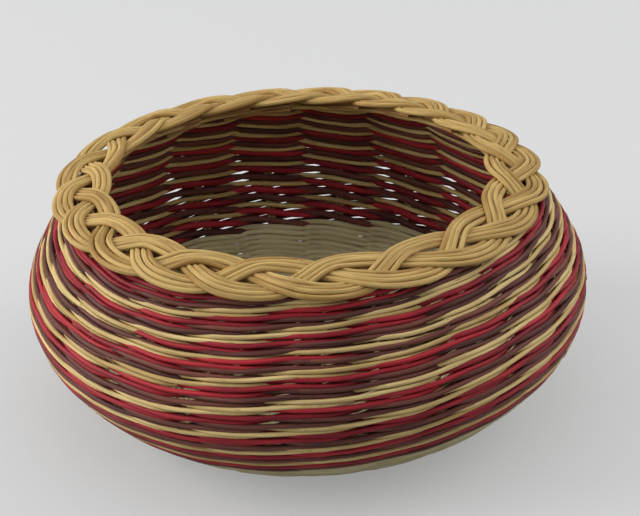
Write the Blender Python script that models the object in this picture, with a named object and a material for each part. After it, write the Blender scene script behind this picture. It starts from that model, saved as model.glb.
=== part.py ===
# Round squat basket of woven reed, modelled as its separate pieces.
# A flat woven base on crossed sticks, stakes that run out from it and up the wall,
# coloured rows woven round the stakes, and a border of three plaited strands.
# Metres, +Z up. The origin is on the floor, under the middle of the base.

import math

import bmesh
import bpy
import numpy as np

# Outer outline of the bowl: radius and height of each station, from the foot to the neck
FOOT_RADIUS = 0.0740
LOW_RADIUS = 0.1187
LOW_HEIGHT = 0.0242
FLANK_RADIUS = 0.1334
FLANK_HEIGHT = 0.0466
BELLY_RADIUS = 0.1350
BELLY_HEIGHT = 0.0664
SHOULDER_RADIUS = 0.1260
SHOULDER_HEIGHT = 0.0875
NECK_RADIUS = 0.1140
NECK_HEIGHT = 0.1062

# Weave
STAKE_COUNT = 21
STAKE_WIDTH = 0.0047
STAKE_THICKNESS = 0.0023
WEAVER_THICKNESS = 0.0023
COLOUR_START = 0.0530
WEAVE_GAP = 0.0003
STAKE_GAP = 0.00045
STAKE_STEP = 0.0085

# How the coloured rows rise and end, as multiples of a row's height
OVER_NECK_RATIO = 3.48
TIGHTENING_RATIO = 0.16
SIDE_RISE_RATIO = 2.42
BACK_RISE_RATIO = 1.39
TURN_RISE_RATIO = 0.92
SHORTEST_END_RATIO = 0.38

# Base
CROSS_STICKS = 5
STICK_WIDTH = 0.0044
STICK_SPACING = 0.0047
CROSS_HALF_LENGTH = 0.0210
HUB_CLEARANCE = 0.0006
TWINED_OUTER_RADIUS = 0.0370
TWINED_INNER_RADIUS = 0.0245
BASE_BANDS = 6

# Border: three flat strands plaited round the neck
BORDER_INSET = 0.0107
BORDER_TILT = math.radians(11.7)
STRAND_WIDTH = 0.0100
STRAND_THICKNESS = 0.0023
STRAND_SWING = 0.0103
STRAND_LIFT = 0.0032
STRAND_STEPS = 12
BORDER_CLEARANCE = 0.0003

# Colours of the reed: base colour and roughness
NATURAL = ((0.62, 0.42, 0.18), 0.50)
RED = ((0.36, 0.025, 0.030), 0.48)
MAROON = ((0.15, 0.050, 0.045), 0.50)
ROW_COLOURS = {"natural": NATURAL, "red": RED, "maroon": MAROON}

# Rows from the bottom of the coloured wall: the order breaks once below the shoulder
LOWER_ORDER = ["maroon", "red", "natural"] * 5
BREAK_ORDER = ["maroon", "red", "natural", "red", "natural"]
UPPER_ORDER = ["maroon", "red", "natural", "maroon", "red"]
ROW_ORDER = LOWER_ORDER + BREAK_ORDER + UPPER_ORDER

# The border's middle lies inside the neck
BORDER_RADIUS = NECK_RADIUS - BORDER_INSET

# Depth of each layer under the outer outline
STAKE_DEPTH = WEAVER_THICKNESS + STAKE_GAP + STAKE_THICKNESS / 2
INNER_DEPTH = 2 * STAKE_DEPTH - WEAVER_THICKNESS / 2
OUTER_DEPTH = WEAVER_THICKNESS / 2
GRID = 2 * STAKE_COUNT
PROFILE_SAMPLES = 40


def clear_scene():
    for item in list(bpy.data.objects):
        bpy.data.objects.remove(item, do_unlink=True)


def bowl_outline():
    """Outer outline as points (radius, height), with the arc length from the foot."""
    stations = np.array([
        (FOOT_RADIUS, 0.0),
        (LOW_RADIUS, LOW_HEIGHT),
        (FLANK_RADIUS, FLANK_HEIGHT),
        (BELLY_RADIUS, BELLY_HEIGHT),
        (SHOULDER_RADIUS, SHOULDER_HEIGHT),
        (NECK_RADIUS, NECK_HEIGHT),
    ])
    chords = np.linalg.norm(np.diff(stations, axis=0), axis=1)
    tangents = [np.array([1.0, 0.0])]
    for i in range(1, len(stations) - 1):
        before = (stations[i] - stations[i - 1]) / chords[i - 1]
        after = (stations[i + 1] - stations[i]) / chords[i]
        mean = before * chords[i] + after * chords[i - 1]
        tangents.append(mean / np.linalg.norm(mean))
    tangents.append((stations[-1] - stations[-2]) / chords[-1])
    points = [np.array([0.0, 0.0])]
    for i, chord in enumerate(chords):
        for step in np.linspace(0.0, 1.0, PROFILE_SAMPLES, endpoint=False):
            points.append(hermite(stations[i], stations[i + 1], tangents[i] * chord,
                                  tangents[i + 1] * chord, step))
    points.append(stations[-1])
    points = np.array(points)
    lengths = np.linalg.norm(np.diff(points, axis=0), axis=1)
    arc = np.concatenate([[0.0], np.cumsum(lengths)]) - FOOT_RADIUS
    return arc, points


def hermite(start, end, start_slope, end_slope, t):
    return ((2 * t**3 - 3 * t**2 + 1) * start + (t**3 - 2 * t**2 + t) * start_slope
            + (3 * t**2 - 2 * t**3) * end + (t**3 - t**2) * end_slope)


ARC, OUTLINE = bowl_outline()
WALL_TOP = ARC[-1]
SLOPES = np.gradient(OUTLINE, ARC, axis=0)
NECK_LEAN = SLOPES[-1] / np.linalg.norm(SLOPES[-1])
ROW_HEIGHT = (WALL_TOP - COLOUR_START) / (len(ROW_ORDER) - OVER_NECK_RATIO)


def wall_point(arc, depth, angle):
    """Point under the outer outline, at an arc length from the foot and an angle from the front."""
    above = max(arc - WALL_TOP, 0.0)
    radius = np.interp(arc, ARC, OUTLINE[:, 0]) + above * NECK_LEAN[0]
    height = np.interp(arc, ARC, OUTLINE[:, 1]) + above * NECK_LEAN[1]
    along_r = np.interp(arc, ARC, SLOPES[:, 0])
    along_z = np.interp(arc, ARC, SLOPES[:, 1])
    length = math.hypot(along_r, along_z)
    radius -= depth * along_z / length
    height += depth * along_r / length
    # the rings have straight sides, so their corners stand out a little
    radius /= math.cos(math.pi / GRID)
    return (radius * math.sin(angle), -radius * math.cos(angle), height)


def row_arc(arc, angle):
    """Arc length of a row at an angle: the rows rise towards +X and the back, less so under
    the base."""
    share = min(max(1.0 + arc / (FOOT_RADIUS - TWINED_OUTER_RADIUS), 0.0), 1.0)
    rise = (SIDE_RISE_RATIO * math.sin(angle) - BACK_RISE_RATIO * math.cos(angle)
            + TURN_RISE_RATIO * math.sin(2 * angle))
    return arc + rise * share * ROW_HEIGHT


def row_low(number):
    """Arc length of a coloured row's lower edge: the rows are packed tighter towards the neck.

    The highest rows end over the neck where they rise, so there they run out under the border."""
    tightened = TIGHTENING_RATIO / 2 * (1 - number / len(ROW_ORDER))
    return COLOUR_START + ROW_HEIGHT * number * (1 + tightened)


def grid_angle(index):
    return 2 * math.pi * (index / 2 + 0.25) / STAKE_COUNT


def stake_angle(stake):
    return 2 * math.pi * stake / STAKE_COUNT


def weave_depth(index, shift):
    """Depth of a row at a grid corner: over two stakes and behind the third."""
    stake = ((index + 1) // 2 + shift) % 3
    return INNER_DEPTH if stake == 0 else OUTER_DEPTH


def reed_material(name, look):
    colour, roughness = look
    material = bpy.data.materials.new(name + "_reed")
    material.use_nodes = True
    shader = material.node_tree.nodes["Principled BSDF"]
    shader.inputs["Base Color"].default_value = (*colour, 1.0)
    shader.inputs["Roughness"].default_value = roughness
    shader.inputs["Metallic"].default_value = 0.0
    return material


def loft_mesh(sections, closed):
    """Closed body through equal sections of points, capped at its ends unless it is a ring."""
    bm = bmesh.new()
    rings = [[bm.verts.new(point) for point in section] for section in sections]
    count = len(rings)
    for i in range(count if closed else count - 1):
        here = rings[i]
        ahead = rings[(i + 1) % count]
        for j in range(len(here)):
            k = (j + 1) % len(here)
            bm.faces.new((here[j], here[k], ahead[k], ahead[j]))
    if not closed:
        bm.faces.new(list(reversed(rings[0])))
        bm.faces.new(rings[-1])
    return bm


def add_object(name, bm, look):
    bmesh.ops.recalc_face_normals(bm, faces=bm.faces)
    mesh = bpy.data.meshes.new(name)
    bm.to_mesh(mesh)
    bm.free()
    mesh.shade_smooth()
    mesh.set_sharp_from_angle(angle=math.radians(35.0))
    mesh.materials.append(reed_material(name, look))
    item = bpy.data.objects.new(name, mesh)
    bpy.context.scene.collection.objects.link(item)
    return item


def woven_section(low, high, steps, index, shift):
    """Section of a woven row at a grid corner, from its lower to its upper edge."""
    angle = grid_angle(index)
    depth = weave_depth(index, shift)
    half = WEAVER_THICKNESS / 2
    lengths = [low + (high - low) * i / steps for i in range(steps + 1)]
    arcs = [min(row_arc(length, angle), WALL_TOP) for length in lengths]
    outer = [wall_point(arc, depth - half, angle) for arc in arcs]
    inner = [wall_point(arc, depth + half, angle) for arc in reversed(arcs)]
    return outer + inner


def woven_row(low, high, steps, shift):
    """One row as a ring, or as the part of it that stays under the border and runs out there."""
    low += WEAVE_GAP / 2
    high -= WEAVE_GAP / 2
    end = WALL_TOP - SHORTEST_END_RATIO * ROW_HEIGHT
    inside = [row_arc(low, grid_angle(i)) <= end for i in range(GRID)]
    closed = all(inside)
    order = list(range(GRID))
    if not closed:
        first = next(i for i in range(GRID) if inside[i] and not inside[i - 1])
        order = [(first + i) % GRID for i in range(sum(inside))]
    sections = [woven_section(low, high, steps, i, shift) for i in order]
    return loft_mesh(sections, closed)


def add_wall():
    for number, colour in enumerate(ROW_ORDER):
        bm = woven_row(row_low(number), row_low(number + 1), 1, number)
        add_object(f"wale_row_{number + 1:02d}_{colour}", bm, ROW_COLOURS[colour])


def add_base_weave():
    start = TWINED_OUTER_RADIUS - FOOT_RADIUS
    width = (COLOUR_START - start) / BASE_BANDS
    for band in range(BASE_BANDS):
        low = start + band * width
        steps = 1 if low + width < 0.0 else 2
        bm = woven_row(low, low + width, steps, band)
        add_object(f"base_weave_{band + 1}", bm, NATURAL)


def flat_ring(inner_radius, outer_radius, bottom, top):
    """Flat ring with a rectangular section."""
    sections = []
    for i in range(GRID):
        angle = grid_angle(i)
        across = [(inner_radius, bottom), (outer_radius, bottom),
                  (outer_radius, top), (inner_radius, top)]
        sections.append([(r * math.sin(angle), -r * math.cos(angle), z) for r, z in across])
    return loft_mesh(sections, True)


def add_twined_rounds():
    """The first rounds are twined: one layer under the stakes and one over them."""
    outer = TWINED_OUTER_RADIUS - WEAVE_GAP
    under = flat_ring(TWINED_INNER_RADIUS, outer, 0.0, WEAVER_THICKNESS)
    add_object("base_twining_lower", under, NATURAL)
    bottom = INNER_DEPTH - WEAVER_THICKNESS / 2
    over = flat_ring(TWINED_INNER_RADIUS, outer, bottom, bottom + WEAVER_THICKNESS)
    add_object("base_twining_upper", over, NATURAL)


def bundle_outline():
    """Section of a bundle of sticks side by side, with a groove between each two."""
    half_w = STICK_WIDTH / 2
    half_t = WEAVER_THICKNESS / 2
    corner = half_t / 2
    lower = []
    for number in range(CROSS_STICKS):
        middle = (number - (CROSS_STICKS - 1) / 2) * STICK_SPACING
        lower += [(middle - half_w, corner - half_t), (middle - half_w + corner, -half_t),
                  (middle + half_w - corner, -half_t), (middle + half_w, corner - half_t)]
    upper = [(across, -rise) for across, rise in reversed(lower)]
    return lower + upper


def add_cross():
    """Two bundles of sticks, one over the other, cross at the middle of the base."""
    under = STAKE_DEPTH - (WEAVER_THICKNESS + WEAVE_GAP) / 2
    over = STAKE_DEPTH + (WEAVER_THICKNESS + WEAVE_GAP) / 2
    ends = (-CROSS_HALF_LENGTH, CROSS_HALF_LENGTH)
    outline = bundle_outline()
    lower = [[(end, across, under + rise) for across, rise in outline] for end in ends]
    upper = [[(across, end, over + rise) for across, rise in outline] for end in ends]
    add_object("base_sticks_lower", loft_mesh(lower, False), NATURAL)
    add_object("base_sticks_upper", loft_mesh(upper, False), NATURAL)


def stake_section(arc, angle):
    """Flat section of a stake: a pair of reeds side by side."""
    half_w = STAKE_WIDTH / 2
    half_t = STAKE_THICKNESS / 2
    points = []
    for side, depth in ((-half_w, -half_t), (half_w, -half_t), (half_w, half_t), (-half_w, half_t)):
        x, y, z = wall_point(arc, STAKE_DEPTH + depth, angle)
        radius = math.hypot(x, y) * math.cos(math.pi / GRID)
        points.append((radius * math.sin(angle) + side * math.cos(angle),
                       -radius * math.cos(angle) + side * math.sin(angle), z))
    return points


def stake_reach():
    """How far the stakes run on above the neck, until they carry the border's low strands."""
    depth = STAKE_DEPTH - STAKE_THICKNESS / 2
    slope = math.tan(BORDER_TILT)
    room = depth * (NECK_LEAN[1] * slope - NECK_LEAN[0])
    return room / (NECK_LEAN[1] + NECK_LEAN[0] * slope)


def add_stakes():
    start = CROSS_HALF_LENGTH + STAKE_WIDTH / 2 + HUB_CLEARANCE - FOOT_RADIUS
    end = WALL_TOP + stake_reach()
    bends = np.linspace(0.0, end, round(end / STAKE_STEP) + 1)
    arcs = [start, -STAKE_STEP / 4] + list(bends[1:])
    for number in range(STAKE_COUNT):
        angle = stake_angle(number)
        sections = [stake_section(arc, angle) for arc in arcs]
        add_object(f"stake_{number + 1:02d}", loft_mesh(sections, False), NATURAL)


def border_height():
    """Height of the border's middle, with its low strands just over the neck and the stakes."""
    return (NECK_HEIGHT + BORDER_CLEARANCE + BORDER_INSET * math.tan(BORDER_TILT)
            + (STRAND_LIFT + STRAND_THICKNESS / 2) / math.cos(BORDER_TILT))


def strand_centre(phase, angle, middle):
    swing = STRAND_SWING * math.sin(phase)
    lift = STRAND_LIFT * math.sin(2 * phase)
    radius = BORDER_RADIUS - swing * math.cos(BORDER_TILT) + lift * math.sin(BORDER_TILT)
    height = middle + swing * math.sin(BORDER_TILT) + lift * math.cos(BORDER_TILT)
    return np.array([radius * math.sin(angle), -radius * math.cos(angle), height])


def add_border():
    """Each strand swings across the border once for every three stakes, lowest on a stake."""
    middle = border_height()
    cycles = STAKE_COUNT // 3
    count = STRAND_STEPS * cycles
    lowest = -math.pi / 4
    for strand in range(3):
        centres = []
        normals = []
        for i in range(count):
            travel = 2 * math.pi * i / STRAND_STEPS
            phase = travel + 2 * math.pi * strand / 3
            angle = (travel - lowest) / cycles
            centres.append(strand_centre(phase, angle, middle))
            lean = math.sin(BORDER_TILT)
            normals.append(np.array([lean * math.sin(angle), -lean * math.cos(angle),
                                     math.cos(BORDER_TILT)]))
        sections = []
        for i in range(count):
            tangent = centres[(i + 1) % count] - centres[i - 1]
            across = np.cross(tangent, normals[i])
            across /= np.linalg.norm(across)
            side = across * STRAND_WIDTH / 2
            rise = normals[i] * STRAND_THICKNESS / 2
            sections.append([centres[i] + side + rise, centres[i] - side + rise,
                             centres[i] - side - rise, centres[i] + side - rise])
        add_object(f"border_strand_{strand + 1}", loft_mesh(sections, True), NATURAL)


def main():
    clear_scene()
    add_cross()
    add_twined_rounds()
    add_base_weave()
    add_stakes()
    add_wall()
    add_border()


main()
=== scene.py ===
# Round squat basket of woven reed: every reed of its base, wall and border as its own rod,
# with the camera, floor and light of the photograph.
import math

import bpy
import numpy as np
from mathutils import Matrix


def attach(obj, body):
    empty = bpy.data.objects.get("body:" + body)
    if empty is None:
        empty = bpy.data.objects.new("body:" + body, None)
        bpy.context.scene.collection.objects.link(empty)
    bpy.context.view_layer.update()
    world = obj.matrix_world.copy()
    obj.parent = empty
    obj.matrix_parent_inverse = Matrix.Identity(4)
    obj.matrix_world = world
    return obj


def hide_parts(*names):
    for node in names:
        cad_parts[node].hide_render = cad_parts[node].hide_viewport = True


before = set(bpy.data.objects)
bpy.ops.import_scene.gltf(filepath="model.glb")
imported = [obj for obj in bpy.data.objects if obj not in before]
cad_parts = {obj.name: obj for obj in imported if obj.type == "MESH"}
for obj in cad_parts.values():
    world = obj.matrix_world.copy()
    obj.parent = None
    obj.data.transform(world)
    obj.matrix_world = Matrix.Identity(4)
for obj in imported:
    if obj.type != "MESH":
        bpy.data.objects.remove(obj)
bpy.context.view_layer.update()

FULL_TURN = 2 * math.pi

# All sizes are in metres. Outline of the bowl, as in the CAD: radius and height of each station
STATIONS = np.array([
    (0.0740, 0.0), (0.1187, 0.0242), (0.1334, 0.0466),
    (0.1350, 0.0664), (0.1260, 0.0875), (0.1140, 0.1062),
])
FOOT_RADIUS, NECK_RADIUS = STATIONS[0][0], STATIONS[-1][0]
OUTLINE_STEPS = 40

# Reeds, and how deep they lie under the outline
REED = 0.0023
DYED_REED = 0.00243
UNDYED_REED = 0.00222
FINE_REED = 0.00205
OUTER_DEPTH = REED / 2
STAKE_DEPTH = 0.0039
INNER_DEPTH = 0.0064

# Stakes: pairs of reeds from the middle of the base to the border
STAKES = 21
STAKE_PITCH = FULL_TURN / STAKES
STAKE_START = 0.0215
STAKE_OVER_NECK = 0.0026
STAKE_REED_APART = 0.00118
STAKE_REED_WIDE, STAKE_REED_OUT = 0.00116, 0.00114

# Coloured rows, from the bottom up
ORDER = (["maroon", "red", "natural"] * 5 + ["maroon", "red", "natural", "red", "natural"]
         + ["maroon", "red", "natural", "maroon", "red"])
# Where they start along the outline, how many more of them there are than fit under the neck,
# how far past the neck a rod may run, and how much closer the upper rows are packed
COLOUR_START = 0.0530
OVER_NECK = 3.48
PAST_NECK = 0.0024
TIGHTENING = 0.16
# Heights of the rows against their mean: a natural row takes less, because its reeds are finer
NATURAL_SHARE, DYED_SHARE = 0.86, 1.07
# Rise of the rows round the basket, in rows
SIDE_RISE, BACK_RISE, TURN_RISE = 2.42, 1.39, 0.92
# Places where the hand pushed the rows together or apart: row, its spread, angle, its spread, rise
QUIRKS = [
    (17.0, 2.3, -38, 14, 0.0030), (24.0, 2.5, -38, 14, -0.0018), (15.8, 3.0, -6, 10, 0.0020),
    (7.0, 6.0, -6, 10, 0.0015), (22.5, 1.6, -6, 9, 0.0012), (14.6, 1.7, 28, 9, 0.0015),
    (17.6, 1.6, 26, 9, -0.0020), (9.5, 2.5, 26, 8, -0.0012),
]

# Path of a rod over three stakes: its swing in height, in rows, and where it comes out and goes in
SWING, SECOND_SWING = 0.555, 0.21
COMES_OUT, GOES_IN = (0.12, 0.96), (2.08, 2.88)
# How much deeper than OUTER_DEPTH a float lies: on the whole, at the stakes against between them,
# where the reeds that cross behind push it out, and for each stake that it passes on its way in
FLOAT_DEPTH, FLOAT_WAVE, FLOAT_SLOPE = 0.00025, 0.00018, 0.00060
# Share by which a reed widens where it bends round the inside of a stake
NATURAL_WIDENING, WIDENING = 0.12, 0.42
# Unevenness of a rod: along its way in stakes, in depth and in height, then slow waves in height
WAY_RIPPLE, DEPTH_RIPPLE, LEVEL_RIPPLE = 0.014, 0.00006, 0.00007
SLOW_WAVES = ((0.00045, 3, 60), (0.00030, 5, -95))
# A rod that leaves the wall is made where it stays in it for more places than this
SHORTEST_RUN = 4
# An open end of a rod has this share of its thickness, and gains this share at each place
END_SIZE, END_TAPER = 0.45, 0.3

# Base: bands of rounds outside the twined start, the start with its hub, and the cross of sticks
BANDS = 6
COARSE_BANDS = 2
TWINED_OUTER = 0.0370
TWINED_INNER = 0.0222
TWINED_ROUNDS = 4
HUB_RADII = (0.0166, 0.0188, 0.0210)
HUB_SWING = 0.00115
CROSS_HALF = 0.0225
CROSS_STEP = 0.0026
STICKS = 5
STICK_PITCH = 0.0047
STICK_WIDE, STICK_OUT = 0.0022, 0.00118

# Border: three strands plaited over seven times three stakes, tilted towards the outside
STRANDS = 3
STRAND_REEDS = 4
STRAND_STEPS = 30
STRAND_SWING = 0.0103
STRAND_ARCH = 0.0015
BORDER_REED = 0.00262
BORDER_RADIUS = NECK_RADIUS - 0.0107
BORDER_TILT = math.radians(11.7)
BORDER_SHIFT = -0.0023
BORDER_MIDDLE = 0.1120
# The reeds start this far over and under one another, and relax from there
FIRST_LIFT = 0.0011
RELAXING_STEPS = 400
# Bent-over stakes under the plait: radius and height over the border's middle
CORE_PLACES = ((0.0985, -0.0046), (0.1025, -0.0046), (0.1063, -0.0046), (0.1088, -0.0058),
               (0.1096, -0.0040), (0.1042, -0.0029))
CORE_HALF = 0.0011
CUT_END_HALF = 0.00105

# Loose fibres of the wall: how many, and half their thickness
FIBRES = 26
FIBRE_HALF = 0.00007

# Floor and light
FLOOR_HALF = 12.0
FLOOR_COLOUR = (0.34, 0.34, 0.338, 1.0)
FLOOR_GLOW = 0.295
SKY_COLOUR = (0.965, 0.985, 1.03, 1.0)
SKY_LOW, SKY_HIGH = 0.10, 1.08
LAMP_COLOUR = (1.0, 0.985, 0.95)
LAMP_SIZE = 1.5
LAMP_TARGET = (0.0, 0.0, 0.05)

# Camera: the photograph's frame, focal length and middle of view in pixels
FRAME_WIDTH, FRAME_HEIGHT = 640, 516
FOCAL_LENGTH = 2200.8
VIEW_MIDDLE = (308.23, 300.30)
SENSOR_WIDTH = 36.0
CAMERA_TARGET = np.array([0.0, 0.0, 0.04725])
CAMERA_ELEVATION = 0.48647
CAMERA_DISTANCE = 1.08
CAMERA_ROLL = -0.0338


# Outline

def hermite(a, b, ta, tb, t):
    return ((2 * t**3 - 3 * t**2 + 1) * a + (t**3 - 2 * t**2 + t) * ta
            + (3 * t**2 - 2 * t**3) * b + (t**3 - t**2) * tb)


def bowl_outline():
    """Points of the bowl's outline, and their distance along it from the foot's edge."""
    chords = np.linalg.norm(np.diff(STATIONS, axis=0), axis=1)
    tangents = [np.array([1.0, 0.0])]
    for i in range(1, len(STATIONS) - 1):
        before = (STATIONS[i] - STATIONS[i - 1]) / chords[i - 1]
        after = (STATIONS[i + 1] - STATIONS[i]) / chords[i]
        mean = before * chords[i] + after * chords[i - 1]
        tangents.append(mean / np.linalg.norm(mean))
    tangents.append((STATIONS[-1] - STATIONS[-2]) / chords[-1])
    points = [np.array([0.0, 0.0])]
    for i, chord in enumerate(chords):
        for t in np.linspace(0.0, 1.0, OUTLINE_STEPS, endpoint=False):
            points.append(hermite(STATIONS[i], STATIONS[i + 1], tangents[i] * chord,
                                  tangents[i + 1] * chord, t))
    points.append(STATIONS[-1])
    points = np.array(points)
    steps = np.linalg.norm(np.diff(points, axis=0), axis=1)
    return np.concatenate([[0.0], np.cumsum(steps)]) - FOOT_RADIUS, points


ARC, OUTLINE = bowl_outline()
WALL_TOP = ARC[-1]
SLOPES = np.gradient(OUTLINE, ARC, axis=0)
SLOPES /= np.linalg.norm(SLOPES, axis=1)[:, None]
ROW_HEIGHT = (WALL_TOP - COLOUR_START) / (len(ORDER) - OVER_NECK)
ROW_SHARES = np.array([NATURAL_SHARE if colour == "natural" else DYED_SHARE for colour in ORDER])
ROW_PLACES = np.concatenate([[0.0], np.cumsum(ROW_SHARES)]) * len(ORDER) / ROW_SHARES.sum()


def wall_points(arc, depth, angle):
    """Points under the outline, with the directions up along it and out of it."""
    arc, depth, angle = np.broadcast_arrays(arc, depth, angle)
    above = np.maximum(arc - WALL_TOP, 0.0)
    along_r = np.interp(arc, ARC, SLOPES[:, 0])
    along_z = np.interp(arc, ARC, SLOPES[:, 1])
    radius = np.interp(arc, ARC, OUTLINE[:, 0]) + above * along_r - depth * along_z
    height = np.interp(arc, ARC, OUTLINE[:, 1]) + above * along_z + depth * along_r
    s, c = np.sin(angle), np.cos(angle)
    points = np.stack([radius * s, -radius * c, height], axis=-1)
    up = np.stack([along_r * s, -along_r * c, along_z], axis=-1)
    out = np.stack([along_z * s, -along_z * c, -along_r], axis=-1)
    return points, up, out


def row_low(number):
    """Lower edge of a coloured row, along the outline."""
    place = ROW_PLACES[number]
    return COLOUR_START + ROW_HEIGHT * place * (1 + TIGHTENING / 2 * (1 - place / len(ORDER)))


def row_arc(arc, angle):
    """A row's place along the outline at an angle: the rows rise to the right and the back."""
    share = np.clip(1.0 + arc / (FOOT_RADIUS - TWINED_OUTER), 0.0, 1.0)
    rise = SIDE_RISE * np.sin(angle) - BACK_RISE * np.cos(angle) + TURN_RISE * np.sin(2 * angle)
    return arc + ROW_HEIGHT * share * rise


def row_quirk(arc, angle):
    row = (arc - COLOUR_START) / ROW_HEIGHT + 0.5
    total = np.zeros_like(angle)
    for place, spread, toward, width, rise in QUIRKS:
        turn = np.mod(angle - math.radians(toward) + math.pi, FULL_TURN) - math.pi
        total += rise * np.exp(-0.5 * ((row - place) / spread)**2
                               - 0.5 * (turn / math.radians(width))**2)
    return total


def ripple(seed, angle, size, waves=7):
    """Smooth unevenness that closes on itself round the basket."""
    rng = np.random.default_rng(seed)
    total = np.zeros_like(angle)
    for k in range(1, waves + 1):
        total = total + rng.normal() / math.sqrt(k) * np.sin(k * angle + rng.uniform(0, FULL_TURN))
    return total * size


def straight_up(count):
    return np.tile([0.0, 0.0, 1.0], (count, 1))


# Rods

class Rods:
    """Collects tubes for one piece, with a coordinate that runs along each rod."""

    def __init__(self):
        self.verts, self.faces, self.slots = [], [], []
        self.strips, self.travelled = [], 0.0
        self.grain, self.tone, self.count = [], [], 0

    def add(self, path, out, half_wide, half_out, closed, slots, seed, sides=8, taper=0.0):
        """A tube round a path: out is a direction across it, slots its material by segment."""
        path = np.asarray(path, float)
        n = len(path)
        if closed:
            tangent = np.roll(path, -1, axis=0) - np.roll(path, 1, axis=0)
        else:
            tangent = np.gradient(path, axis=0)
        tangent /= np.linalg.norm(tangent, axis=1)[:, None]
        out = out - (out * tangent).sum(1)[:, None] * tangent
        out /= np.linalg.norm(out, axis=1)[:, None]
        wide = np.cross(tangent, out)
        turn = np.arange(sides) * FULL_TURN / sides
        c, s = np.cos(turn), np.sin(turn)
        scale = np.ones(n)
        if taper:
            ends = np.minimum(np.arange(n), np.arange(n)[::-1])
            scale = np.clip(END_SIZE + ends * taper, 0.0, 1.0)
        ring = (path[:, None, :]
                + wide[:, None, :] * c[None, :, None] * (half_wide * scale)[:, None, None]
                + out[:, None, :] * s[None, :, None] * (half_out * scale)[:, None, None])
        rng = np.random.default_rng(seed)
        shift = rng.uniform(0.0, 8.0, 3)
        length = np.concatenate([[0.0], np.cumsum(np.linalg.norm(np.diff(path, axis=0), axis=1))])
        grain = np.empty((n, sides, 3))
        grain[:, :, 0] = length[:, None] + shift[0]
        grain[:, :, 1] = c[None, :] * half_wide[:, None] + shift[1]
        grain[:, :, 2] = s[None, :] * half_out[:, None] + shift[2]
        tone = np.full(n * sides, rng.uniform())
        base = self.count
        i = np.arange(n if closed else n - 1)
        j = np.arange(sides)
        this_ring, next_ring = base + i * sides, base + (i + 1) % n * sides
        quads = np.stack([
            this_ring[:, None] + j, this_ring[:, None] + (j + 1) % sides,
            next_ring[:, None] + (j + 1) % sides, next_ring[:, None] + j,
        ], axis=-1).reshape(-1, 4)
        steps = np.linalg.norm(np.diff(path, axis=0, append=path[:1]), axis=1)[:len(i)]
        around = math.pi * float(np.mean(half_wide) + np.mean(half_out)) / sides
        self.strip(steps, around, sides, closed)
        self.verts.append(ring.reshape(-1, 3))
        self.grain.append(grain.reshape(-1, 3))
        self.tone.append(tone)
        self.faces += quads.tolist()
        slots = np.broadcast_to(slots, (len(i),))
        self.slots += np.repeat(slots, sides).tolist()
        if not closed:
            self.faces.append(list(range(base + sides - 1, base - 1, -1)))
            self.faces.append(list(range(base + (n - 1) * sides, base + n * sides)))
            self.slots += [int(slots[0]), int(slots[-1])]
        self.count += n * sides

    def strip(self, steps, around, sides, closed):
        """Keeps each face's place on one long strip: along the rods, and round them."""
        start = self.travelled + np.concatenate([[0.0], np.cumsum(steps)[:-1]])
        j = np.tile(np.arange(sides), len(steps))
        along = np.repeat(start, sides)
        size = np.repeat(steps, sides)
        self.strips += np.stack([along, size, j * around, np.full(len(j), around)], axis=1).tolist()
        self.travelled += float(steps.sum())
        if not closed:
            radius = around * sides / FULL_TURN
            for _ in range(2):
                # a negative last value marks an end face and tells its number of sides
                self.strips.append([self.travelled + radius, radius, radius, float(-sides)])
                self.travelled += 3 * radius

    def unwrap(self, mesh):
        """Lays the strip in rows on a square map, so that each rod's pattern stays straight."""
        table = np.array(self.strips)
        band = 1.25 * max(low + around for _, _, low, around in self.strips if around > 0)
        longest = table[:, 1].max() * 2
        rows = 1
        while rows * band < self.travelled / rows + longest:
            rows += 1
        width = self.travelled / rows
        side = max(rows * band, width + longest)
        uvs = []
        for along, size, low, around in self.strips:
            row = min(int(along / width), rows - 1)
            u, v = along - row * width, row * band + 0.1 * band
            if around > 0:
                uvs += [(u, v + low), (u, v + low + around),
                        (u + size, v + low + around), (u + size, v + low)]
            else:
                sides = int(-around)
                for k in range(sides):
                    turn = FULL_TURN * k / sides
                    uvs.append((u + size * math.cos(turn), v + low + size * math.sin(turn)))
        layer = mesh.uv_layers.new(name="OFBake")
        layer.data.foreach_set("uv", (np.array(uvs) / side).ravel())

    def piece(self, name, materials, slot, *nodes):
        """Makes the piece with the materials given, in place of the CAD nodes named. The slot
        argument is not used.
        """
        mesh = bpy.data.meshes.new(name)
        mesh.from_pydata(np.concatenate(self.verts).tolist(), [], self.faces)
        mesh.attributes.new("grain", "FLOAT_VECTOR", "POINT").data.foreach_set(
            "vector", np.concatenate(self.grain).ravel())
        mesh.attributes.new("tone", "FLOAT", "POINT").data.foreach_set(
            "value", np.concatenate(self.tone))
        self.unwrap(mesh)
        for material in materials:
            mesh.materials.append(material)
        mesh.polygons.foreach_set("material_index", np.array(self.slots, dtype=np.int32))
        mesh.shade_smooth()
        mesh.set_sharp_from_angle(angle=math.radians(60.0))
        mesh.update()
        item = bpy.data.objects.new(name, mesh)
        bpy.context.scene.collection.objects.link(item)
        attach(item, "root")
        if nodes:
            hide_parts(*nodes)


# Materials

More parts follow.
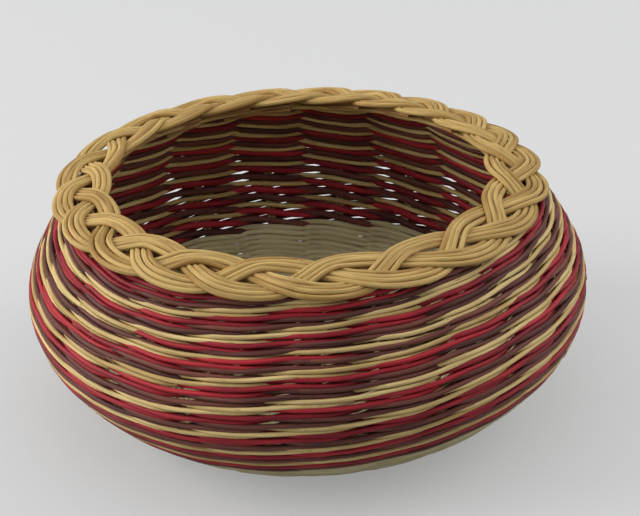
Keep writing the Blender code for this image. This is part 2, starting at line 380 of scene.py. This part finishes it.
def reed_material(name, pale, deep, dark, rough, fibre):
    """Reed with long fibres, slow changes of shade along it and a few dark marks."""
    material = bpy.data.materials.new(name)
    material.use_nodes = True
    nodes, links = material.node_tree.nodes, material.node_tree.links
    shader = nodes["Principled BSDF"]

    def node(kind, **values):
        made = nodes.new(kind)
        for key, value in values.items():
            if key in made.inputs:
                made.inputs[key].default_value = value
            else:
                setattr(made, key, value)
        return made

    def noise(scale, detail, roughness=0.5):
        mapping = node("ShaderNodeMapping", Scale=scale)
        links.new(grain.outputs["Vector"], mapping.inputs["Vector"])
        made = node("ShaderNodeTexNoise", Scale=1.0, Detail=detail, Roughness=roughness)
        links.new(mapping.outputs["Vector"], made.inputs["Vector"])
        return made.outputs["Fac"]

    def maths(operation, first, second):
        made = node("ShaderNodeMath", operation=operation)
        for socket, value in zip(made.inputs, (first, second)):
            if isinstance(value, float):
                socket.default_value = value
            else:
                links.new(value, socket)
        return made.outputs[0]

    def ramp(factor, stops):
        made = node("ShaderNodeValToRGB")
        links.new(factor, made.inputs["Fac"])
        elements = made.color_ramp.elements
        while len(elements) < len(stops):
            elements.new(0.5)
        for element, (place, colour) in zip(elements, stops):
            element.position = place
            element.color = (*colour, 1.0)
        return made.outputs["Color"]

    # scales of the noise: along a rod, across it and out of it
    grain = node("ShaderNodeAttribute", attribute_name="grain")
    tone = node("ShaderNodeAttribute", attribute_name="tone")
    fibres = noise((55.0, 3600.0, 3600.0), 3.0, 0.6)
    patches = noise((34.0, 260.0, 260.0), 2.0)
    marks = noise((150.0, 900.0, 900.0), 1.0)

    # slow changes of shade, and one tone for each rod
    shade = maths("ADD", maths("MULTIPLY", patches, 1.1),
                  maths("MULTIPLY", tone.outputs["Fac"], 0.35))
    middle = tuple((a + b) / 2 for a, b in zip(pale, deep))
    body = ramp(shade, [(0.42, deep), (0.68, middle), (0.92, pale)])
    # darker lines between the fibres
    streak = ramp(fibres, [(0.36, (1.0 - fibre,) * 3), (0.56, (1.0,) * 3)])
    streaked = node("ShaderNodeMix", data_type="RGBA", blend_type="MULTIPLY")
    streaked.inputs["Factor"].default_value = 1.0
    links.new(body, streaked.inputs[6])
    links.new(streak, streaked.inputs[7])
    # dark marks
    spots = ramp(marks, [(0.70, (0.0,) * 3), (0.78, (1.0,) * 3)])
    spotted = node("ShaderNodeMix", data_type="RGBA")
    links.new(maths("MULTIPLY", spots, 0.55), spotted.inputs["Factor"])
    links.new(streaked.outputs[2], spotted.inputs[6])
    spotted.inputs[7].default_value = (*dark, 1.0)
    links.new(spotted.outputs[2], shader.inputs["Base Color"])

    # the fibres shine more than the lines between them, and stand up
    roughness = node("ShaderNodeMapRange")
    links.new(fibres, roughness.inputs["Value"])
    roughness.inputs["To Min"].default_value = rough + 0.16
    roughness.inputs["To Max"].default_value = rough - 0.08
    links.new(roughness.outputs["Result"], shader.inputs["Roughness"])
    shader.inputs["Specular IOR Level"].default_value = 0.25
    bump = node("ShaderNodeBump", Strength=0.35, Distance=0.00012)
    links.new(fibres, bump.inputs["Height"])
    links.new(bump.outputs["Normal"], shader.inputs["Normal"])
    return material


NATURAL = reed_material(
    "natural_reed", pale=(0.72, 0.54, 0.232), deep=(0.44, 0.288, 0.096),
    dark=(0.17, 0.085, 0.03), rough=0.50, fibre=0.34)
# The base reed is the natural reed made paler and greyer: painted light, the cool light from above
# that falls on the inside of the base.
BASE = reed_material(
    "base_reed", pale=(0.67, 0.595, 0.350), deep=(0.50, 0.430, 0.230),
    dark=(0.22, 0.13, 0.06), rough=0.55, fibre=0.30)
# The stakes are the natural reed darkened to about two thirds: painted shade, the shade that lies
# on them where they show between the rows.
STAKE = reed_material(
    "stake_reed", pale=(0.47, 0.385, 0.200), deep=(0.32, 0.245, 0.115),
    dark=(0.14, 0.08, 0.035), rough=0.58, fibre=0.36)
RED = reed_material(
    "red_reed", pale=(0.47, 0.022, 0.034), deep=(0.20, 0.006, 0.015),
    dark=(0.05, 0.004, 0.006), rough=0.50, fibre=0.50)
MAROON = reed_material(
    "maroon_reed", pale=(0.190, 0.059, 0.041), deep=(0.072, 0.019, 0.016),
    dark=(0.025, 0.007, 0.007), rough=0.52, fibre=0.50)
BORDER = reed_material(
    "border_reed", pale=(0.585, 0.398, 0.138), deep=(0.345, 0.190, 0.047),
    dark=(0.18, 0.075, 0.022), rough=0.58, fibre=0.42)
CUT_ENDS = reed_material(
    "cut_end_reed", pale=(0.50, 0.28, 0.10), deep=(0.33, 0.155, 0.05),
    dark=(0.14, 0.06, 0.025), rough=0.52, fibre=0.45)
PALETTE = [NATURAL, RED, MAROON, BASE]
SLOT = {"natural": 0, "red": 1, "maroon": 2, "base": 3}
ONLY_SLOT = 0


# Woven rows

def ease(u, start, end):
    t = np.clip((u - start) / (end - start), 0.0, 1.0)
    return t * t * (3 - 2 * t)


def rod_place(u, pitch):
    """Height of a rod in its row and how far it is inside, by its way in stakes since it last
    went behind one: it comes out high, over the rod before it, and goes in low."""
    turn = FULL_TURN * (u - 1.5) / 3
    height = SECOND_SWING * np.sin(2 * turn) - SWING * np.sin(turn)
    outward = ease(u, *COMES_OUT) * (1.0 - ease(u, *GOES_IN))
    return height * pitch, 1.0 - outward


def runs_inside(inside):
    """Runs of places, round the basket, at which a rod is in the wall."""
    count = len(inside)
    for first in range(count):
        if inside[first] and not inside[first - 1]:
            run = []
            i = first
            while inside[i % count]:
                run.append(i % count)
                i += 1
            yield np.array(run)


def wale_row(rods, low, high, shift, colour_of, seed, per_stake=8, sides=8, reed=REED):
    """Three rods of one row: each passes over two stakes and behind the third, in turn."""
    count = STAKES * per_stake
    angle = np.arange(count) * FULL_TURN / count
    middle = (low + high) / 2
    for m in range(3):
        way = angle / STAKE_PITCH + shift + m + ripple(seed * 5 + m, angle, WAY_RIPPLE, 30)
        u = np.mod(way, 3.0)
        # a rod changes colour only where it is behind a stake
        float_middle = (np.floor(way / 3.0) * 3.0 + 1.5 - shift - m) * STAKE_PITCH
        slots = np.array([SLOT[colour_of(a)] for a in float_middle])
        dyed = np.isin(slots, (SLOT["red"], SLOT["maroon"]))
        rise, behind = rod_place(u, high - low)
        floating = FLOAT_DEPTH + FLOAT_WAVE * np.cos(FULL_TURN * u) + FLOAT_SLOPE * (u - 1.5)
        depth = OUTER_DEPTH + (INNER_DEPTH - OUTER_DEPTH) * behind + (1 - behind) * floating
        depth = depth + ripple(seed * 7 + m, angle, DEPTH_RIPPLE, 12)
        level = row_arc(middle, angle) + row_quirk(middle, angle) + rise
        level = level + ripple(seed * 7 + m + 3, angle, LEVEL_RIPPLE, 24)
        for size, waves, drift in SLOW_WAVES:
            level = level + size * np.sin(waves * angle + middle * drift)
        thick = np.where(dyed, DYED_REED, reed)
        points, _, out = wall_points(level, np.maximum(depth, thick / 2), angle)
        widening = np.where(slots == SLOT["natural"], NATURAL_WIDENING, WIDENING)
        half = thick / 2 * (1 + widening * behind)
        inside = level <= WALL_TOP + PAST_NECK
        if inside.all():
            rods.add(points, out, half, thick / 2, True, slots, seed * 11 + m, sides)
            continue
        for run in runs_inside(inside):
            if len(run) > SHORTEST_RUN:
                rods.add(points[run], out[run], half[run], thick[run] / 2, False,
                         slots[run][:-1], seed * 11 + m, sides, END_TAPER)


def row_colour(number, angle):
    """Colour of a row at an angle: three rows were joined on in another colour on the way round."""
    turn = math.degrees(angle) % 360
    if number == 16:
        return "natural" if 6 < turn < 268 else "red"
    if number == 17:
        return "natural" if 268 < turn < 340 else "maroon"
    if number == 18:
        return "maroon" if 268 < turn < 328 else "red"
    return ORDER[number]


def base_colour(angle):
    return "base"


def add_wall():
    for number, colour in enumerate(ORDER):
        rods = Rods()
        wale_row(rods, row_low(number), row_low(number + 1), number,
                 lambda angle, number=number: row_colour(number, angle), 100 + number,
                 reed=UNDYED_REED)
        rods.piece(f"wale_rods_{number + 1:02d}", PALETTE, colour + "_reed",
                   f"wale_row_{number + 1:02d}_{colour}")


def add_base():
    """Bands of fine rounds from the twined start to the colours, and the start itself."""
    start = TWINED_OUTER - FOOT_RADIUS
    width = (COLOUR_START - start) / BANDS
    shift = 0
    for band in range(BANDS):
        rods = Rods()
        coarse = band < COARSE_BANDS
        rounds = 4 if coarse else 5
        for k in range(rounds):
            low = start + band * width + k * width / rounds
            wale_row(rods, low, low + width / rounds, shift, base_colour, 300 + shift,
                     per_stake=6 if band < BANDS // 2 else 8, sides=7,
                     reed=REED if coarse else FINE_REED)
            shift += 1
        rods.piece(f"base_rounds_{band + 1}", PALETTE, "natural_reed", f"base_weave_{band + 1}")
    rods = Rods()
    width = (TWINED_OUTER - TWINED_INNER) / TWINED_ROUNDS
    for k in range(TWINED_ROUNDS):
        low = TWINED_INNER - FOOT_RADIUS + k * width
        wale_row(rods, low, low + width, k + 1, base_colour, 400 + k, per_stake=6, sides=7)
    # close rounds fill the corners of the cross: over one bundle and under the other
    angle = np.linspace(0.0, FULL_TURN, 96, endpoint=False)
    half = np.full(len(angle), REED / 2)
    for k, radius in enumerate(HUB_RADII):
        height = STAKE_DEPTH - HUB_SWING * np.cos(2 * angle)
        points = np.stack([radius * np.sin(angle), -radius * np.cos(angle), height], axis=1)
        rods.add(points, straight_up(len(angle)), half, half, True, SLOT["base"], 430 + k, 8)
    rods.piece("hub_rounds", PALETTE, "natural_reed", "base_twining_lower", "base_twining_upper")


def add_cross():
    """Two bundles of flattened sticks crossing at the middle of the base."""
    steps = np.linspace(-CROSS_HALF, CROSS_HALF, 14)
    half_wide, half_out = np.full(len(steps), STICK_WIDE), np.full(len(steps), STICK_OUT)
    for way, name in ((0, "lower"), (1, "upper")):
        rods = Rods()
        height = STAKE_DEPTH + (way - 0.5) * CROSS_STEP
        for number in range(STICKS):
            across = (number - STICKS // 2) * STICK_PITCH
            lift = ripple(500 + number + 10 * way, steps * 60, 0.00008, 4)
            side = across + ripple(520 + number + 10 * way, steps * 50, 0.00008, 4)
            flat = np.stack([steps, side, height + lift], axis=1)
            points = flat if way == 0 else flat[:, [1, 0, 2]]
            rods.add(points, straight_up(len(steps)), half_wide, half_out, False,
                     SLOT["natural"], 540 + number + 10 * way, 10, END_TAPER)
        rods.piece(f"base_cross_{name}", PALETTE, "natural_reed", f"base_sticks_{name}")


def add_stakes():
    """Pairs of reeds side by side, from under the cross to the border."""
    arcs = np.linspace(STAKE_START - FOOT_RADIUS, WALL_TOP + STAKE_OVER_NECK, 66)
    half_wide = np.full(len(arcs), STAKE_REED_WIDE)
    half_out = np.full(len(arcs), STAKE_REED_OUT)
    for stake in range(STAKES):
        rods = Rods()
        angle = stake * STAKE_PITCH
        away = np.array([math.cos(angle), math.sin(angle), 0.0])
        for side in (-1, 1):
            seed = 600 + stake * 2 + side
            depth = STAKE_DEPTH + ripple(seed, arcs * 30, 0.00004, 5)
            points, _, out = wall_points(arcs, depth, angle)
            apart = side * STAKE_REED_APART + ripple(seed + 50, arcs * 25, 0.00007, 5)
            rods.add(points + away * apart[:, None], out, half_wide, half_out, False,
                     ONLY_SLOT, seed, 8)
        rods.piece(f"stake_rods_{stake + 1:02d}", [STAKE], "stake_reed", f"stake_{stake + 1:02d}")


# Border

def strand_plan(strand, steps):
    """Strand's place in the flat of the border: angle round the basket, swing towards its
    middle, and the phase of the plait."""
    count = STAKES // STRANDS * steps
    travel = FULL_TURN * np.arange(count) / steps
    phase = travel + FULL_TURN * strand / STRANDS
    even = (travel + math.pi / 4) * STRANDS / STAKES
    # the lobes were pulled up unevenly by hand
    angle = even + np.radians(-3.1 + 5.2 * np.sin(even) - 0.7 * np.cos(even)
                              - 2.8 * np.cos(2 * even))
    swing = STRAND_SWING * (np.sin(phase) + 0.06 * np.sin(3 * phase))
    return angle, swing, phase


def border_point(angle, swing, lift, middle):
    radius = BORDER_RADIUS - swing * math.cos(BORDER_TILT) + lift * math.sin(BORDER_TILT)
    height = middle + swing * math.sin(BORDER_TILT) + lift * math.cos(BORDER_TILT)
    return np.stack([radius * np.sin(angle) + BORDER_SHIFT, -radius * np.cos(angle), height],
                    axis=-1)


def border_normal(angle):
    lean = math.sin(BORDER_TILT)
    return np.stack([lean * np.sin(angle), -lean * np.cos(angle),
                     np.full_like(angle, math.cos(BORDER_TILT))], axis=1)


def crossings(flat, rank, group, crown, thick):
    """Pairs of places where one reed lies over another, and how far it has to stand over it."""
    pairs = []
    portion = 400
    for first in range(0, len(flat), portion):
        gap = np.linalg.norm(flat[first:first + portion, None] - flat[None], axis=2)
        a, b = np.nonzero(gap < thick)
        keep = (group[a + first] != group[b]) & (rank[a + first] > rank[b])
        pairs.append(np.stack([a[keep] + first, b[keep]], axis=1))
    pairs = np.concatenate(pairs)
    over, under = pairs[:, 0], pairs[:, 1]
    apart = np.sum((flat[over] - flat[under])**2, axis=1)
    need = np.sqrt(np.maximum(thick**2 - apart, 0.0))
    return over, under, need + crown[under] - crown[over]


def relaxed_lift(lift, count, over, under, need):
    """Heights at which the reeds lie smoothly over one another without cutting through."""
    for _ in range(RELAXING_STEPS):
        table = lift.reshape(-1, count)
        smooth = 0.25 * np.roll(table, 1, 1) + 0.25 * np.roll(table, -1, 1) + 0.5 * table
        beside = smooth.reshape(STRANDS, STRAND_REEDS, count)
        # the reeds of a strand stay near their mean, and all of them sink a little
        lift = (0.985 * (0.90 * beside + 0.10 * beside.mean(axis=1, keepdims=True))).ravel()
        push = np.maximum(need - (lift[over] - lift[under]), 0.0) * 0.5
        up = np.zeros_like(lift)
        down = np.zeros_like(lift)
        np.maximum.at(up, over, push)
        np.maximum.at(down, under, push)
        lift = lift + up - down
    return lift


def add_border():
    """Three strands of reeds laid side by side, plaited round the mouth."""
    flats, ranks, groups, crowns = [], [], [], []
    for strand in range(STRANDS):
        angle, swing, phase = strand_plan(strand, STRAND_STEPS)
        centre = border_point(angle, swing, 0.0, 0.0)
        tangent = np.roll(centre, -1, axis=0) - np.roll(centre, 1, axis=0)
        tangent /= np.linalg.norm(tangent, axis=1)[:, None]
        across = np.cross(tangent, border_normal(angle))
        across /= np.linalg.norm(across, axis=1)[:, None]
        squeeze = 0.97 - 0.09 * np.sin(phase)
        for reed in range(STRAND_REEDS):
            place = reed - (STRAND_REEDS - 1) / 2
            wander = ripple(700 + strand * 10 + reed, angle, 0.00016, 24)
            flats.append(centre + across * (place * BORDER_REED * squeeze + wander)[:, None])
            ranks.append(np.sin(2 * phase))
            groups.append(np.full(len(angle), strand))
            # the reeds of a strand crowd into a low arch
            crowns.append(STRAND_ARCH * (1 - (place / 2)**2)
                          + ripple(740 + strand * 10 + reed, angle, 0.00012, 24))
    count = len(flats[0])
    crown = np.concatenate(crowns)
    rank = np.concatenate(ranks)
    over, under, need = crossings(np.concatenate(flats), rank, np.concatenate(groups), crown,
                                  BORDER_REED)
    lift = relaxed_lift(FIRST_LIFT * rank, count, over, under, need)
    heights = (lift + crown).reshape(-1, count)
    half = np.full(count, BORDER_REED / 2)
    for strand in range(STRANDS):
        rods = Rods()
        for k in range(strand * STRAND_REEDS, (strand + 1) * STRAND_REEDS):
            normal = border_normal(np.arctan2(flats[k][:, 0], -flats[k][:, 1]))
            points = flats[k] + normal * heights[k][:, None] + [0.0, 0.0, BORDER_MIDDLE]
            rods.add(points, normal, half, half, True, ONLY_SLOT, 760 + k, 10)
        rods.piece(f"border_rods_{strand + 1}", [BORDER], "border_reed",
                   f"border_strand_{strand + 1}")


def add_border_core():
    """Bent-over stakes that run on under the plait."""
    rods = Rods()
    angle = np.linspace(0.0, FULL_TURN, 240, endpoint=False)
    normal = border_normal(angle)
    half = np.full(len(angle), CORE_HALF)
    for k, (radius, height) in enumerate(CORE_PLACES):
        swing = np.full_like(angle, BORDER_RADIUS - radius) + ripple(820 + k, angle, 0.0002, 12)
        lift = height + ripple(830 + k, angle, 0.0001, 20)
        points = border_point(angle, swing, lift, BORDER_MIDDLE)
        rods.add(points, normal, half, half, True, ONLY_SLOT, 840 + k, 8)
    rods.piece("border_core", [BORDER], "border_reed")


def add_trimmed_ends():
    """Ends of the reeds, cut off inside under the plait: a short bundle at each stake."""
    rods = Rods()
    rng = np.random.default_rng(33)
    t = np.linspace(0.0, 1.0, 14)
    half = np.full(len(t), CUT_END_HALF)
    for stake in range(STAKES):
        start = (stake + 0.35) * STAKE_PITCH + rng.normal() * 0.05
        count = rng.integers(1, 4)
        reach = math.radians(rng.uniform(9.0, 22.0))
        for k in range(count):
            angle = start + rng.normal() * 0.012 + reach * t
            radius = 0.0950 - 0.0005 * k + (0.0060 + 0.0010 * k) * t
            swing = (BORDER_RADIUS - radius) / math.cos(BORDER_TILT)
            lift = -0.0006 - 0.0020 * k - 0.0026 * t + rng.normal() * 0.0002
            points = border_point(angle, swing, lift, BORDER_MIDDLE)
            rods.add(points, border_normal(angle), half, half, False, ONLY_SLOT,
                     860 + stake * 3 + k, 8)
    rods.piece("trimmed_ends", [CUT_ENDS], "border_reed")


def add_fibres():
    """Fine fibres that stand away from the reeds of the wall here and there, one in four inside."""
    rods = Rods()
    rng = np.random.default_rng(71)
    t = np.linspace(0.0, 1.0, 9)
    half = np.full(len(t), FIBRE_HALF) * (1.1 - 0.6 * t)
    for number in range(FIBRES):
        arc = rng.uniform(COLOUR_START + 0.006, WALL_TOP - 0.008)
        side = 1 if number % 4 else -1
        length = rng.uniform(0.005, 0.011)
        lean = rng.uniform(-0.9, 0.9)
        turn = rng.uniform(0.0, FULL_TURN)
        root = 0.0016 if side > 0 else INNER_DEPTH + 0.0006
        depth = root - side * t * (1.6 - t) * rng.uniform(0.0012, 0.0034)
        arcs = arc + length * (t * math.sin(lean) + rng.uniform(-0.3, 0.3) * t * t)
        angle = turn + length * t * math.cos(lean) / 0.125
        points, up, out = wall_points(arcs, depth, angle)
        rods.add(points, out + up * 0.01, half, half, False, ONLY_SLOT, 900 + number, 6)
    rods.piece("loose_fibres", [NATURAL], "natural_reed")


# Stage

def add_stage():
    """Plain floor, which the camera and glossy reflections see paler than it lights the object."""
    mesh = bpy.data.meshes.new("floor")
    size = FLOOR_HALF
    mesh.from_pydata([(-size, -size, 0), (size, -size, 0), (size, size, 0), (-size, size, 0)],
                     [], [(0, 1, 2, 3)])
    floor = bpy.data.objects.new("floor", mesh)
    bpy.context.scene.collection.objects.link(floor)
    material = bpy.data.materials.new("pale_floor")
    material.use_nodes = True
    nodes, links = material.node_tree.nodes, material.node_tree.links
    shader = nodes["Principled BSDF"]
    shader.inputs["Base Color"].default_value = FLOOR_COLOUR
    shader.inputs["Roughness"].default_value = 0.9
    shader.inputs["Specular IOR Level"].default_value = 0.1
    shader.inputs["Emission Color"].default_value = (1.0, 1.0, 1.0, 1.0)
    seen = nodes.new("ShaderNodeLightPath")
    direct = nodes.new("ShaderNodeMath")
    direct.operation = "MAXIMUM"
    glow = nodes.new("ShaderNodeMath")
    glow.operation = "MULTIPLY"
    glow.inputs[1].default_value = FLOOR_GLOW
    links.new(seen.outputs["Is Camera Ray"], direct.inputs[0])
    links.new(seen.outputs["Is Glossy Ray"], direct.inputs[1])
    links.new(direct.outputs[0], glow.inputs[0])
    links.new(glow.outputs[0], shader.inputs["Emission Strength"])
    mesh.materials.append(material)


def axes_matrix(right, up, back, place):
    return Matrix([[right[i], up[i], back[i], place[i]] for i in range(3)] + [[0, 0, 0, 1]])


def area_light(name, place, power):
    lamp = bpy.data.lights.new(name, "AREA")
    lamp.shape = "DISK"
    lamp.size = LAMP_SIZE
    lamp.energy = power
    lamp.color = LAMP_COLOUR
    item = bpy.data.objects.new(name, lamp)
    back = np.array(place) - np.array(LAMP_TARGET)
    back /= np.linalg.norm(back)
    right = np.cross([0.0, 0.0, 1.0], back)
    right /= np.linalg.norm(right)
    item.matrix_world = axes_matrix(right, np.cross(back, right), back, place)
    bpy.context.scene.collection.objects.link(item)


def add_light():
    """A pale room, brighter overhead, with a wide lamp on each side."""
    world = bpy.data.worlds.new("studio")
    bpy.context.scene.world = world
    world.use_nodes = True
    nodes, links = world.node_tree.nodes, world.node_tree.links
    background = nodes["Background"]
    background.inputs["Color"].default_value = SKY_COLOUR
    place = nodes.new("ShaderNodeTexCoord")
    split = nodes.new("ShaderNodeSeparateXYZ")
    strength = nodes.new("ShaderNodeMapRange")
    strength.inputs["To Min"].default_value = SKY_LOW
    strength.inputs["To Max"].default_value = SKY_HIGH
    links.new(place.outputs["Generated"], split.inputs["Vector"])
    links.new(split.outputs["Z"], strength.inputs["Value"])
    links.new(strength.outputs["Result"], background.inputs["Strength"])
    area_light("left", (-1.8, 0.0, 0.85), 35.0)
    area_light("right", (1.6, 0.30, 1.0), 14.0)


def add_camera():
    back = np.array([0.0, -math.cos(CAMERA_ELEVATION), math.sin(CAMERA_ELEVATION)])
    level_right = np.array([1.0, 0.0, 0.0])
    level_up = np.cross(back, level_right)
    right = level_right * math.cos(CAMERA_ROLL) + level_up * math.sin(CAMERA_ROLL)
    data = bpy.data.cameras.new("camera")
    data.sensor_fit = "HORIZONTAL"
    data.sensor_width = SENSOR_WIDTH
    data.lens = FOCAL_LENGTH / FRAME_WIDTH * SENSOR_WIDTH
    data.shift_x = (FRAME_WIDTH / 2 - VIEW_MIDDLE[0]) / FRAME_WIDTH
    data.shift_y = (VIEW_MIDDLE[1] - FRAME_HEIGHT / 2) / FRAME_WIDTH
    data.clip_start = 0.05
    data.clip_end = 50.0
    camera = bpy.data.objects.new("camera", data)
    camera.matrix_world = axes_matrix(right, np.cross(back, right), back,
                                      CAMERA_TARGET + back * CAMERA_DISTANCE)
    bpy.context.scene.collection.objects.link(camera)
    bpy.context.scene.camera = camera


add_camera()
add_light()
add_stage()
add_cross()
add_base()
add_stakes()
add_wall()
add_border()
add_border_core()
add_trimmed_ends()
add_fibres()

bpy.context.scene.view_settings.view_transform = "Standard"
